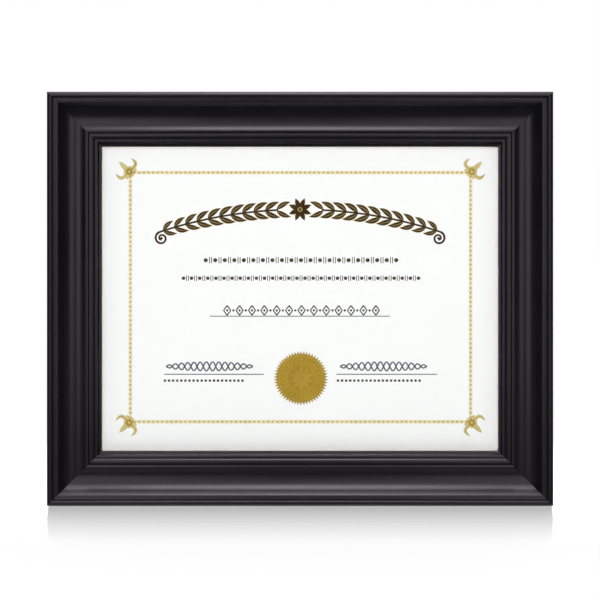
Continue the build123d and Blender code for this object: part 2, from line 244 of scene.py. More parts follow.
class Nodes:
    # short calls for a node tree; a socket given as a value is linked, and anything else is set
    def __init__(self, tree):
        self.tree = tree

    def fill(self, node, inputs):
        for key, value in inputs.items():
            if isinstance(value, bpy.types.NodeSocket):
                self.tree.links.new(value, node.inputs[key])
            else:
                node.inputs[key].default_value = value
        return node

    def add(self, kind, inputs=None, **settings):
        node = self.tree.nodes.new("ShaderNode" + kind)
        for key, value in settings.items():
            setattr(node, key, value)
        return self.fill(node, inputs or {})

    def math(self, operation, *values):
        return self.add("Math", dict(enumerate(values)), operation=operation).outputs[0]

    def vectorMath(self, operation, *values):
        result = "Value" if operation in ("LENGTH", "DOT_PRODUCT") else "Vector"
        return self.add("VectorMath", dict(enumerate(values)), operation=operation).outputs[result]

    def spread(self, value, start, end, low=0.0, high=1.0):
        # a value carried from one range to another, and held at its ends
        return self.add("MapRange", {"Value": value, "From Min": start, "From Max": end, "To Min": low,
                                     "To Max": high}).outputs["Result"]

    def noise(self, vector, scale, detail=2.0, rough=0.5):
        return self.add("TexNoise", {"Vector": vector, "Scale": scale, "Detail": detail, "Roughness": rough})

    def ramp(self, value, *stops):
        ramp = self.add("ValToRGB", {"Fac": value})
        elements = ramp.color_ramp.elements
        while len(elements) < len(stops):
            elements.new(0.5)
        for element, (position, color) in zip(elements, stops):
            element.position = position
            element.color = (*color, 1)
        return ramp.outputs["Color"]

    def place(self, turn=(0, 0, 0), scale=(1, 1, 1)):
        own = self.add("TexCoord").outputs["Object"]
        return self.add("Mapping", {"Vector": own, "Rotation": turn, "Scale": scale}).outputs["Vector"]

    def group(self, group, **inputs):
        node = self.add("Group", node_tree=group)
        return self.fill(node, {key.replace("_", " "): value for key, value in inputs.items()}).outputs

    def bump(self, height, distance):
        return self.add("Bump", {"Height": height, "Strength": 1.0, "Distance": distance}).outputs["Normal"]

    def mix(self, share, first, second):
        return self.add("MixShader", {"Fac": share, 1: first, 2: second}).outputs[0]

    def surface(self, shader):
        self.fill(self.tree.nodes["Material Output"], {"Surface": shader})


def newMaterial(name):
    material = bpy.data.materials.new(name)
    material.use_nodes = True
    paints[name] = material
    return Nodes(material.node_tree), material.node_tree.nodes["Principled BSDF"]


def newGroup(name, inputs, outputs):
    group = bpy.data.node_groups.new(name, "ShaderNodeTree")
    for key, value in [("Vector", None)] + list(inputs.items()):
        kind = "NodeSocketFloat" if isinstance(value, float) else "NodeSocketVector"
        socket = group.interface.new_socket(name=key, in_out="INPUT", socket_type=kind)
        if value is not None:
            socket.default_value = value
    for key in outputs:
        group.interface.new_socket(name=key, in_out="OUTPUT", socket_type="NodeSocketFloat")
    return group, Nodes(group), group.nodes.new("NodeGroupInput").outputs, group.nodes.new("NodeGroupOutput")


def makeSurfaceGroup():
    # fine unevenness of a finished surface: a grain about zero, soft clouds, and the grain's height
    group, nodes, given, result = newGroup("FineSurface", {"Grain Scale": 900.0, "Smear Scale": 25.0},
                                           ("Grain", "Smear", "Height"))
    grain = nodes.noise(given["Vector"], given["Grain Scale"], 4.0, 0.6).outputs["Fac"]
    smear = nodes.noise(given["Vector"], given["Smear Scale"], 5.0, 0.55).outputs["Fac"]
    nodes.fill(result, {"Grain": nodes.math("SUBTRACT", grain, 0.5), "Smear": smear, "Height": grain})
    return group


def makeFibreGroup():
    # short fibres and clouds of board and paper
    group, nodes, given, result = newGroup("Fibres", {"Fibre Scale": 500.0, "Stretch": (1.0, 1.0, 1.0)},
                                           ("Fibre", "Cloud"))
    stretched = nodes.vectorMath("MULTIPLY", given["Vector"], given["Stretch"])
    warp = nodes.noise(given["Vector"], 180.0).outputs["Color"]
    moved = nodes.vectorMath("ADD", stretched, nodes.vectorMath("MULTIPLY", warp, (0.004, 0.004, 0.004)))
    fibre = nodes.noise(moved, given["Fibre Scale"], 6.0, 0.7).outputs["Fac"]
    nodes.fill(result, {"Fibre": fibre, "Cloud": nodes.noise(given["Vector"], 14.0, 3.0).outputs["Fac"]})
    return group


paints = {}
surfaceGroup = makeSurfaceGroup()
fibreGroup = makeFibreGroup()

finishes = {
    # two colours, the least and most roughness and what it follows, the scales of the grain and of the
    # clouds, the grain's height, the stretch, and what else the surface has
    "blackSatinLacquer": ((0.0019, 0.0018, 0.002), (0.0032, 0.003, 0.0033), (0.3, 0.38), "Smear", 1400.0,
                          30.0, 0.000008, (1, 1, 1),
                          {"Specular IOR Level": 0.55, "Specular Tint": (0.98, 0.9, 1, 1)}),
    "goldFoil": ((0.325, 0.204, 0.0075), (0.41, 0.26, 0.014), (0.36, 0.48), "Smear", 1200.0, 90.0,
                 0.00002, (1, 1, 1), {"Metallic": 0.25}),
    # the raised foil: the same foil as goldFoil coloured lighter, a painted highlight on the embossing
    "raisedFoilPaintedHighlight": ((0.39, 0.245, 0.019), (0.5, 0.318, 0.0355), (0.36, 0.48), "Smear", 1200.0, 90.0,
                   0.00002, (1, 1, 1), {"Metallic": 0.25}),
    "platedSteel": ((0.5, 0.49, 0.46), (0.68, 0.67, 0.64), (0.22, 0.4), "Height", 500.0, 120.0,
                    0.00001, (1, 4, 4), {"Metallic": 1.0}),
    "buttonSteel": ((0.42, 0.41, 0.39), (0.6, 0.59, 0.56), (0.26, 0.44), "Height", 700.0, 120.0,
                    0.00001, (1, 1, 1), {"Metallic": 1.0}),
    "nailSteel": ((0.26, 0.25, 0.24), (0.42, 0.41, 0.4), (0.3, 0.5), "Height", 900.0, 120.0,
                  0.00001, (1, 1, 1), {"Metallic": 1.0}),
    "bumperRubber": ((0.012, 0.012, 0.012), (0.024, 0.023, 0.022), (0.5, 0.7), "Smear", 1500.0, 100.0,
                     0.00003, (1, 1, 1), {}),
}
boards = {
    # two colours, the fibres' scale, roughness, gloss and the fibres' height
    "certificatePaper": ((0.9, 0.9, 0.893), (0.93, 0.93, 0.926), 1500.0, 0.8, 0.2, 0.00001),
    "fillerBoard": ((0.4, 0.28, 0.16), (0.52, 0.38, 0.24), 700.0, 0.85, 0.5, 0.0),
}
inks = {
    # two colours, roughness and how metallic
    "goldInk": ((0.33, 0.225, 0.035), (0.46, 0.33, 0.062), 0.5, 0.15),
    "paleGoldInk": ((0.66, 0.55, 0.24), (0.78, 0.67, 0.34), 0.55, 0.0),
    "creamInk": ((0.75, 0.675, 0.43), (0.83, 0.755, 0.52), 0.6, 0.0),
    "tanInk": ((0.3, 0.225, 0.085), (0.42, 0.33, 0.14), 0.6, 0.0),
    "brownInk": ((0.03, 0.014, 0.002), (0.055, 0.027, 0.006), 0.6, 0.0),
    "greyInk": ((0.045, 0.04, 0.03), (0.085, 0.075, 0.06), 0.6, 0.0),
    "slateInk": ((0.07, 0.075, 0.1), (0.12, 0.125, 0.155), 0.6, 0.0),
    "ruleInk": ((0.12, 0.118, 0.112), (0.19, 0.186, 0.18), 0.6, 0.0),
}
rawWoodLook = {
    "pale": (0.56, 0.4, 0.235), "mid": (0.47, 0.315, 0.17), "dark": (0.33, 0.2, 0.1), "ringScale": 55.0,
    "ringWarp": 6.0, "warpScale": 38.0, "fibreScale": 900.0, "lengthwise": 0.12, "rough": 0.72, "gloss": 0.25,
    "bump": 0.00006,
}
hardboardLook = {
    "dark": (0.085, 0.04, 0.016), "mid": (0.165, 0.083, 0.036), "pale": (0.27, 0.15, 0.07),
    "fibreScale": 650.0, "stretch": (1.0, 0.8, 0.5), "coarseScale": 260.0, "rough": 0.55, "bump": 0.00005,
}
glassLook = {
    "thin": (0.994, 0.998, 0.996), "thick": (0.998, 1, 0.999), "rough": 0.02, "bend": 1.5,
    "shade": (0.975, 0.98, 0.978, 1),
}
weaveLook = {
    "dark": (0.008, 0.008, 0.009), "pale": (0.045, 0.045, 0.05), "ribs": 22.0, "threads": 9.0, "wobble": 0.25,
    "rough": 0.7, "sheen": 0.3, "bump": 0.00015,
}


def makeFinish(name, low, high, rough, follows, grain, smear, height, stretch, others):
    nodes, shader = newMaterial(name)
    fine = nodes.group(surfaceGroup, Vector=nodes.place(scale=stretch), Grain_Scale=grain, Smear_Scale=smear)
    nodes.fill(shader, {
        "Base Color": nodes.ramp(fine["Smear"], (0.3, low), (0.7, high)),
        "Roughness": nodes.spread(fine[follows], 0.0, 1.0, *rough),
        "Normal": nodes.bump(fine["Height"], height), **others})


def makeBoard(name, low, high, scale, rough, gloss, height):
    nodes, shader = newMaterial(name)
    fibre = nodes.group(fibreGroup, Vector=nodes.place(), Fibre_Scale=scale)["Fibre"]
    nodes.fill(shader, {
        "Base Color": nodes.ramp(fibre, (0.3, low), (0.7, high)), "Roughness": rough,
        "Specular IOR Level": gloss, "Normal": nodes.bump(fibre, height)})


def makeInk(name, low, high, rough, metallic):
    # printed ink that sinks a little unevenly into the paper
    nodes, shader = newMaterial(name)
    fine = nodes.group(surfaceGroup, Vector=nodes.place(), Grain_Scale=2500.0, Smear_Scale=160.0)
    uneven = nodes.math("ADD", fine["Smear"], fine["Grain"])
    nodes.fill(shader, {"Base Color": nodes.ramp(uneven, (0.25, low), (0.75, high)), "Roughness": rough,
                        "Metallic": metallic, "Specular IOR Level": 0.12})


def makeRawWood(name, upright):
    # sawn softwood with its grain along the rail
    look = rawWoodLook
    nodes, shader = newMaterial(name)
    along = (1, 1, look["lengthwise"]) if upright else (look["lengthwise"], 1, 1)
    place = nodes.place(turn=(leanAngle, 0, 0), scale=along)
    wave = {"Vector": place, "Scale": look["ringScale"], "Distortion": look["ringWarp"], "Detail": 3.0,
            "Detail Scale": 2.0}
    rings = nodes.add("TexWave", wave, bands_direction="X" if upright else "Y").outputs["Fac"]
    warp = nodes.noise(place, look["warpScale"], 3.0).outputs["Fac"]
    fibre = nodes.group(fibreGroup, Vector=place, Fibre_Scale=look["fibreScale"])["Fibre"]
    grain = nodes.math("ADD", nodes.math("MULTIPLY", rings, warp), fibre)
    color = nodes.ramp(nodes.spread(grain, 0.0, 1.0, -0.15, 0.85), (0.2, look["pale"]), (0.55, look["mid"]),
                       (0.95, look["dark"]))
    nodes.fill(shader, {"Base Color": color, "Roughness": look["rough"], "Specular IOR Level": look["gloss"],
                        "Normal": nodes.bump(grain, look["bump"])})


def makeHardboard(name):
    # pressed brown hardboard with fibres and flecks
    look = hardboardLook
    nodes, shader = newMaterial(name)
    place = nodes.place()
    fine = nodes.group(fibreGroup, Vector=place, Fibre_Scale=look["fibreScale"], Stretch=look["stretch"])
    coarse = nodes.group(fibreGroup, Vector=place, Fibre_Scale=look["coarseScale"])
    fibres = nodes.math("ADD", fine["Fibre"], coarse["Fibre"])
    clouded = nodes.spread(nodes.math("ADD", fibres, coarse["Cloud"]), 1.0, 2.0)
    color = nodes.ramp(clouded, (0.3, look["dark"]), (0.55, look["mid"]), (0.85, look["pale"]))
    nodes.fill(shader, {"Base Color": color, "Roughness": look["rough"],
                        "Normal": nodes.bump(fibres, look["bump"])})


def makeGlass(name):
    # clear picture glass that lets the lamps' light through
    look = glassLook
    nodes, shader = newMaterial(name)
    clouds = nodes.group(surfaceGroup, Vector=nodes.place(), Grain_Scale=60.0, Smear_Scale=12.0)["Smear"]
    nodes.fill(shader, {
        "Base Color": nodes.ramp(clouds, (0.2, look["thin"]), (0.8, look["thick"])),
        "Roughness": nodes.spread(clouds, 0.0, 1.0, 0.0, look["rough"]), "Transmission Weight": 1.0,
        "IOR": look["bend"]})
    path = nodes.add("LightPath").outputs
    passing = nodes.math("MAXIMUM", path["Is Shadow Ray"], path["Is Diffuse Ray"])
    clear = nodes.add("BsdfTransparent", {"Color": look["shade"]}).outputs[0]
    nodes.surface(nodes.mix(passing, shader.outputs["BSDF"], clear))


def makeWeave(name):
    # black woven ribbon, ribbed across its length, read from its own UV map
    look = weaveLook
    nodes, shader = newMaterial(name)
    spot = nodes.add("UVMap", uv_map="UVMap").outputs["UV"]
    ribs, threads = (nodes.add("TexWave", {"Vector": spot, "Scale": look[kind], "Distortion": look["wobble"]},
                     bands_direction=way).outputs["Fac"] for kind, way in (("ribs", "Y"), ("threads", "X")))
    weave = nodes.math("MULTIPLY", ribs, threads)
    nodes.fill(shader, {
        "Base Color": nodes.ramp(weave, (0.0, look["dark"]), (1.0, look["pale"])), "Roughness": look["rough"],
        "Sheen Weight": look["sheen"], "Normal": nodes.bump(weave, look["bump"])})


for make, looks in ((makeFinish, finishes), (makeBoard, boards), (makeInk, inks)):
    for name, look in looks.items():
        make(name, *look)
makeRawWood("rawWoodAcross", False)
makeRawWood("rawWoodUpright", True)
makeHardboard("brownHardboard")
makeGlass("pictureGlass")
makeWeave("wovenRibbon")

print("stage: rails")
moulding = {
    # the stops of the section inwards from the outer edge, in millimetres: how far on and how far up each
    # lies from the one before, and the swell and steps of the arc between them
    "side": (0, 17.7, 0, 0), "bevel": (2.2, 2.3, 0.3, 6), "cap": (1.0, 0, 0, 0), "quirk": (0.85, -1.0, 0, 0),
    "bandRise": (0.4, 0.65, 0.05, 6), "band": (3.0, 0, 0, 0), "fall": (2.0, -1.8, 0.04, 6),
    "step": (0.5, -0.45, 0, 0), "scoop": (16.55, 0, -3.9, 40), "ridge": (1.7, 0, 0, 0),
    "innerQuirk": (0, -1.15, 0, 0), "bead": (4.2, 0.65, 0.85, 18), "beadStep": (0.3, -0.6, 0, 0),
    "smallBeadRise": (0.3, 0.5, 0, 0), "smallBead": (1.9, 0, 0.12, 6), "lipFall": (1.0, -1.9, 0.06, 6),
    "lip": (1.8, -0.05, 0, 0),
}
railFinish = {"edgeEase": 0.09 * mm, "mitreGap": 0.03 * mm, "paintMargin": 0.2 * mm}
cornerNail = {"arm": 6.0 * mm, "steel": 0.5 * mm, "height": 9.0 * mm, "sink": 0.3 * mm,
              "places": (9.0 * mm, 23.0 * mm), "fit": 0.06 * mm}


def mouldingSection():
    # across the rail from its outer edge, and up from its back, in metres
    points, across, up = [Vector((0, 0))], 0, 0
    for run, rise, bulge, steps in moulding.values():
        across, up = across + run, up + rise
        stop = Vector((across * mm, up * mm))
        points += arcPoints(points[-1], stop, bulge * mm, steps) if steps else [stop]
    pocket = frameSizes["pocketDepth"]
    wall = ((frameSizes["railWidth"], pocket), (pocketWall, pocket), (pocketWall, 0))
    return points + [Vector(spot) for spot in wall]


def railBlank(length):
    # a mitred length of moulding along X, its outer edge at Y zero and its back at Z zero
    section = [Vector((-length / 2, point.x, point.y)) for point in mouldingSection()]
    piece = drawPrism("railBlank", section, (length, 0, 0))
    for side in (-1, 1):
        editAll(piece)
        corner = Vector((side * (length / 2 - railFinish["mitreGap"]), 0, 0))
        bpy.ops.mesh.bisect(plane_co=corner, plane_no=(side, 1, 0), use_fill=True, clear_outer=True)
        toObject()
    applied(recalculated(piece), "BEVEL", width=railFinish["edgeEase"], segments=2, limit_method="ANGLE",
            angle_limit=math.radians(22), use_clamp_overlap=True)
    return piece


def cornerNailCutter():
    # the slots of all eight corner nails, as one solid to cut with
    grow, arm, steel = cornerNail["fit"], cornerNail["arm"], cornerNail["steel"]
    outer, inner = arm + grow, steel + grow
    outline = [(grow, -grow), (-outer, -grow), (-outer, inner), (-inner, inner), (-inner, outer),
               (grow, outer)]
    rise = cornerNail["height"] + cornerNail["sink"] + grow + mm
    nails = []
    for quarter in range(4):
        right, low = (side / 2 for side in (frameWidth, frameHeight)[::-1 if quarter % 2 else 1])
        for place in cornerNail["places"]:
            piece = drawPrism("nailCutter", [Vector((x, y, -mm)) for x, y in outline], (0, 0, rise))
            spot = Matrix.Translation((right - place, place - low, 0))
            nails.append(turned(piece, Matrix.Rotation(quarter * math.pi / 2, 4, "Z") @ spot))
    return joined(nails, "nailCutter")


def paintRail(piece, rawWood):
    # lacquer on the front and outer side, bare wood behind and in the pocket
    piece.data.materials.clear()
    for paint in ("blackSatinLacquer", rawWood):
        piece.data.materials.append(paints[paint])
    margin = railFinish["paintMargin"]
    for face in piece.data.polygons:
        behind = face.normal.z < -0.7
        level, across = face.center.z, face.center.y
        inPocket = level < frameSizes["pocketDepth"] - margin and across > pocketWall - margin / 2
        face.material_index = 1 if behind or inPocket else 0


def makeRails():
    cutter = cornerNailCutter()
    sides = (("bottom", frameWidth, frameHeight), ("right", frameHeight, frameWidth),
             ("top", frameWidth, frameHeight), ("left", frameHeight, frameWidth))
    blanks = {}
    for quarter, (side, length, span) in enumerate(sides):
        if length not in blanks:
            blanks[length] = railBlank(length)
            paintRail(blanks[length], "rawWoodUpright" if quarter % 2 else "rawWoodAcross")
        piece = copyOf(blanks[length], "rail_" + side + "_moulding")
        turn = Matrix.Rotation(quarter * math.pi / 2, 4, "Z")
        turned(piece, turn @ Matrix.Translation((0, -span / 2, 0)))
        applied(piece, "BOOLEAN", operation="DIFFERENCE", object=cutter, solver="EXACT")
        turned(smoothByAngle(piece, 30), standing)
        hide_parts("rail_" + side)
        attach(piece, "frame")
    for spare in [*blanks.values(), cutter]:
        removed(spare)


makeRails()

print("stage: sheet, glass and boards")
for node, paint in (("certificate_sheet", "certificatePaper"), ("glass_pane", "pictureGlass"),
                    ("filler_sheet", "fillerBoard"), ("backing_board", "brownHardboard"),
                    ("corner_nails", "nailSteel")):
    frame["nodes"][node].data.materials.clear()
    frame["nodes"][node].data.materials.append(paints[paint])

printLayout = {
    # in pixels of the photograph; rows are given by their height, start, end and count
    "inkSink": 0.02 * mm, "inkRise": 0.012 * mm,
    "borderLeft": 130.4, "borderRight": 470.5, "borderTop": 172.6, "borderBottom": 421.7,
    "bandWidth": 3.35, "beadPitch": 4.65, "beadLength": 2.0, "beadWidth": 1.7,
    "edgeLine": 0.36, "edgeSpread": 1.42, "cornerSpace": 2.0,
    # the row, the size of its beads and the height of its bars
    "beadRows": (((260.2, 201.0, 401.0, 21), (4.3, 4.1), 6.2),
                 ((278.2, 179.5, 422.5, 30), (3.8, 3.6), 5.4)),
    "reelThick": 0.85, "reelApart": 1.05,
    "rules": ((316.2, 210.0, 390.0, 0.95), (374.3, 164.0, 264.0, 1.05), (374.3, 336.5, 437.0, 1.05)),
    "dotRows": ((380.6, 165.0, 247.0), (380.6, 338.0, 426.0)), "dotPitch": 4.1, "dotSize": 2.75,
    "lozengeRow": (310.4, 221.0, 382.0, 13), "lozengeSize": (7.0, 9.8), "lozengeThick": 1.4,
    "lozengeDot": 2.4, "waveRows": ((366.4, 166.0, 253.0), (366.4, 340.0, 427.0)), "waves": 7,
    "waveSteps": 12, "waveHeight": 4.6, "waveThick": 1.45,
}


def inPixels(x, y):
    return Vector((x, y)) * perPixel


def inkPatch(name, outline, layers=1):
    # a thin closed patch of ink over an outline; more layers stand a little prouder
    floor = frameSizes["sheetFront"] - printLayout["inkSink"]
    top = printLayout["inkSink"] + layers * printLayout["inkRise"]
    return drawPrism(name, [Vector((point[0], point[1], floor)) for point in outline], (0, 0, top))


def ovalOutline(centre, length, width, steps):
    return [Vector((centre[0] + math.cos(2 * math.pi * i / steps) * length / 2,
                    centre[1] + math.sin(2 * math.pi * i / steps) * width / 2)) for i in range(steps)]


def inkDisc(name, centre, size, steps, layers=1):
    return inkPatch(name, ovalOutline(centre, size, size, steps), layers)


def strokeOutline(points, widths):
    # the outline of a stroke of changing width along a line
    left, right = [], []
    for i, point in enumerate(points):
        along = (points[min(i + 1, len(points) - 1)] - points[max(i - 1, 0)]).normalized()
        across = Vector((-along.y, along.x)) * widths[i] / 2
        left.append(point + across)
        right.append(point - across)
    return left + right[::-1]


def inkLine(name, start, end, thick, layers=1):
    # a straight stroke, its thickness in pixels
    return inkPatch(name, strokeOutline([start, (start + end) / 2, end], [thick * perPixel] * 3), layers)


def curveThrough(start, pull, end, steps):
    shares = [i / steps for i in range(steps + 1)]
    return [start * (1 - t) ** 2 + pull * 2 * t * (1 - t) + end * t * t for t in shares]


leafShape = {"pull": 0.55, "fullness": 0.85, "leastWidth": 0.02, "steps": 9}


def leafLine(length, curl, steps, start=0.0, end=1.0):
    # the middle line of a leaf from the origin towards X, bent to one side by curl
    tip = Vector((math.cos(curl), math.sin(curl))) * length * end
    return curveThrough(Vector((length * start, 0)), Vector((length * leafShape["pull"], 0)), tip, steps)


def leafOutline(length, width, curl=0.0):
    steps = leafShape["steps"]
    shares = [math.sin(math.pi * (i / steps) ** leafShape["fullness"]) for i in range(steps + 1)]
    widths = [max(leafShape["leastWidth"], share) * width for share in shares]
    return strokeOutline(leafLine(length, curl, steps), widths)


def stamped(pattern, places, name):
    # copies of a pattern at every place, joined; the pattern itself goes
    copies = [turned(copyOf(pattern, name), place) for place in places]
    removed(pattern)
    return recalculated(joined(copies, name))


def flatPlace(spot, angle=0.0, scale=(1, 1)):
    place = Matrix.Translation((spot[0], spot[1], 0)) @ Matrix.Rotation(angle, 4, "Z")
    return place @ Matrix.Diagonal((scale[0], scale[1], 1, 1))


def repeated(piece, count, step):
    return applied(piece, "ARRAY", count=count, use_relative_offset=False, use_constant_offset=True,
                   constant_offset_displace=(step.x, step.y, 0))


def finishPrint(parts, name, ink):
    return dressed(turned(joined(parts, name), standing), "frame", ink)


def makeBorder():
    # each side is a pale band between two fine lines, with a row of dark beads on it
    layout = printLayout
    space = layout["cornerSpace"]
    left, right = layout["borderLeft"], layout["borderRight"]
    top, bottom = layout["borderTop"], layout["borderBottom"]
    runs = (((left + space, top), (right - space, top)), ((left + space, bottom), (right - space, bottom)),
            ((left, bottom - space), (left, top + space)), ((right, bottom - space), (right, top + space)))
    bands, lines, beads = [], [], []
    for run in runs:
        start, end = (atPixel(*corner).xy for corner in run)
        along = end - start
        count = round(along.length / (layout["beadPitch"] * perPixel))
        step = along / count
        bands.append(inkLine("band", start, end, layout["bandWidth"]))
        for side in (-1, 1):
            shift = Vector((-along.y, along.x)).normalized() * perPixel * side * layout["edgeSpread"]
            lines.append(inkLine("edgeLine", start + shift, end + shift, layout["edgeLine"], 2))
        size = inPixels(layout["beadLength"], layout["beadWidth"])
        lengths = (size.x, size.y) if abs(along.x) > abs(along.y) else (size.y, size.x)
        bead = inkPatch("bead", ovalOutline(start + step / 2, *lengths, 10), 3)
        beads.append(repeated(bead, count, step))
    finishPrint(bands, "border_band", "creamInk")
    finishPrint(lines, "border_lines", "paleGoldInk")
    finishPrint(beads, "border_beads", "goldInk")


cornerOrnament = {
    # in pixels from the border's corner, outwards across and outwards up
    "heart": (1.2, 0.9), "spike": 14.4, "spikeWidth": 4.6, "rim": 1.5, "vein": 3.9,
    "horn": ((-1.2, 2.2), (-11.4, 7.6), (-1.7, 13.4)), "hornWidth": 5.4,
    "nubs": ((-8.0, 2.4), (-4.6, -4.6), (2.4, -8.0)), "nubWidth": 3.4,
    # the heart, and the width of its discs as shares of it
    "heartSize": 8.4, "heartRim": 1.28, "heartRing": 1.14, "heartDisc": 0.84, "eye": 0.26,
    "petals": 6, "petalTurn": 15.0, "petalLength": 0.54, "petalWidth": 0.42,
}


def hornStroke(points, width, steps=14):
    line = curveThrough(*(inPixels(*point) for point in points), steps)
    shares = [i / steps for i in range(steps + 1)]
    widths = [max(0.04, width * (1 - t) ** 0.7 * (0.5 + t)) * perPixel for t in shares]
    return strokeOutline(line, widths)


def cornerPatches(grow, layers, nubs):
    # the leaves of one corner, grown or drawn in all round by a number of pixels
    look = cornerOrnament
    heart = inPixels(*look["heart"])
    patches = []
    swapped = Matrix(((0, 1, 0, 0), (1, 0, 0, 0), (0, 0, 1, 0), (0, 0, 0, 1)))
    for turn in (Matrix.Identity(4), swapped):
        horn = inkPatch("horn", hornStroke(look["horn"], look["hornWidth"] + 2 * grow), layers)
        patches.append(recalculated(turned(horn, flatPlace(heart) @ turn)))
    leaves = [(look["spike"] * perPixel, math.pi / 4, look["spikeWidth"])]
    for nub in nubs:
        reach = inPixels(*nub)
        leaves.append((reach.length, math.atan2(reach.y, reach.x), look["nubWidth"]))
    for length, angle, width in leaves:
        leaf = inkPatch("leaf", leafOutline(length + grow * perPixel, (width + 2 * grow) * perPixel), layers)
        patches.append(turned(leaf, flatPlace(heart, angle)))
    return patches


def makeCorners():
    # a leafy point at each corner of the border, mirrored from corner to corner
    look, layout = cornerOrnament, printLayout
    places = [flatPlace(atPixel(x, y), 0, (across, up))
              for x, across in ((layout["borderLeft"], -1), (layout["borderRight"], 1))
              for y, up in ((layout["borderTop"], 1), (layout["borderBottom"], -1))]
    heart, size = inPixels(*look["heart"]), look["heartSize"] * perPixel
    outer = cornerPatches(0, 4, look["nubs"]) + [inkDisc("heartRim", heart, size * look["heartRim"], 20, 5)]
    inner = cornerPatches(-look["rim"] / 2, 6, look["nubs"])
    inner.append(inkDisc("heartRing", heart, size * look["heartRing"], 20, 6.5))
    petals = cornerPatches(-look["vein"] / 2, 7, ())
    petals.append(inkDisc("heart", heart, size * look["heartDisc"], 18, 7.5))
    for i in range(look["petals"]):
        petal = inkPatch("petal", leafOutline(size * look["petalLength"], size * look["petalWidth"]), 8)
        turn = 2 * math.pi * i / look["petals"] + math.radians(look["petalTurn"])
        petals.append(turned(petal, flatPlace(heart, turn)))
    eye = inkDisc("eye", heart, size * look["eye"], 12, 10)
    for patches, name, ink in ((outer, "corner_leaves", "goldInk"), (inner, "corner_fill", "paleGoldInk"),
                               (petals, "corner_hearts", "goldInk"), ([eye], "corner_eyes", "paleGoldInk")):
        finishPrint([stamped(joined(patches, name), places, name)], name, ink)


archOrnament = {
    # an arched laurel spray in place of a heading, in pixels and degrees
    "radius": 452.0, "top": 209.5, "halfAngle": 17.95, "startAngle": 3.0, "stemStart": 2.79,
    "stemOverrun": 0.25, "stemSteps": 28, "stem": 1.9, "pairs": 11, "leafLength": 17.0, "leafWidth": 4.85,
    "leafTilt": 47.0, "leafCurl": -20.0, "leafSizes": (0.72, 0.28), "leafSwell": (0.12, 0.62),
    "firstLeaf": 0.015, "rim": 0.9, "rimTip": 0.8, "vein": 0.55, "veinReach": (0.12, 0.86),
    "veinWidths": (0.8, 1, 1, 0.9, 0.6, 0.2),
    "petals": 8, "petalLength": 11.8, "petalWidth": 4.4, "eye": 5.0, "dot": 2.6,
    "scroll": 6.6, "scrollTurns": 1.45, "scrollWinds": 0.78, "scrollSteps": 34, "scrollEye": 0.42,
    "scrollWidth": 1.2, "scrollThins": 0.3,
}


def archPoint(side, around):
    # a place on the arch, its angle from the middle, and the direction towards the middle
    radius = archOrnament["radius"] * perPixel
    centre = atPixel(photoMiddle.x, archOrnament["top"]).xy - Vector((0, radius))
    ray = Vector((side * math.sin(around), math.cos(around)))
    return centre + ray * radius, math.atan2(math.sin(around), -side * math.cos(around))


def laurelPlaces():
    look = archOrnament
    first, last = math.radians(look["startAngle"]), math.radians(look["halfAngle"])
    least, more = look["leafSizes"]
    swell, rise = look["leafSwell"]
    places = []
    for side in (-1, 1):
        for share in (i / (look["pairs"] - 1) for i in range(look["pairs"])):
            along = look["firstLeaf"] + (1 - look["firstLeaf"]) * share
            spot, inward = archPoint(side, last + (first - last) * along)
            size = least + more * math.sin(math.pi * (swell + rise * share))
            for lean in (-1, 1):
                angle = inward + lean * math.radians(look["leafTilt"])
                places.append(flatPlace(spot, angle, (size, size * lean)))
    return places


def scrollLine(reach):
    # a spiral that starts at the origin, heading for X, and winds in
    look, line = archOrnament, []
    for share in (i / look["scrollSteps"] for i in range(look["scrollSteps"] + 1)):
        angle = -math.pi / 2 + look["scrollTurns"] * 2 * math.pi * share
        radius = reach * (1 - look["scrollWinds"] * share)
        line.append(Vector((math.cos(angle) * radius, math.sin(angle) * radius + reach)))
    return line


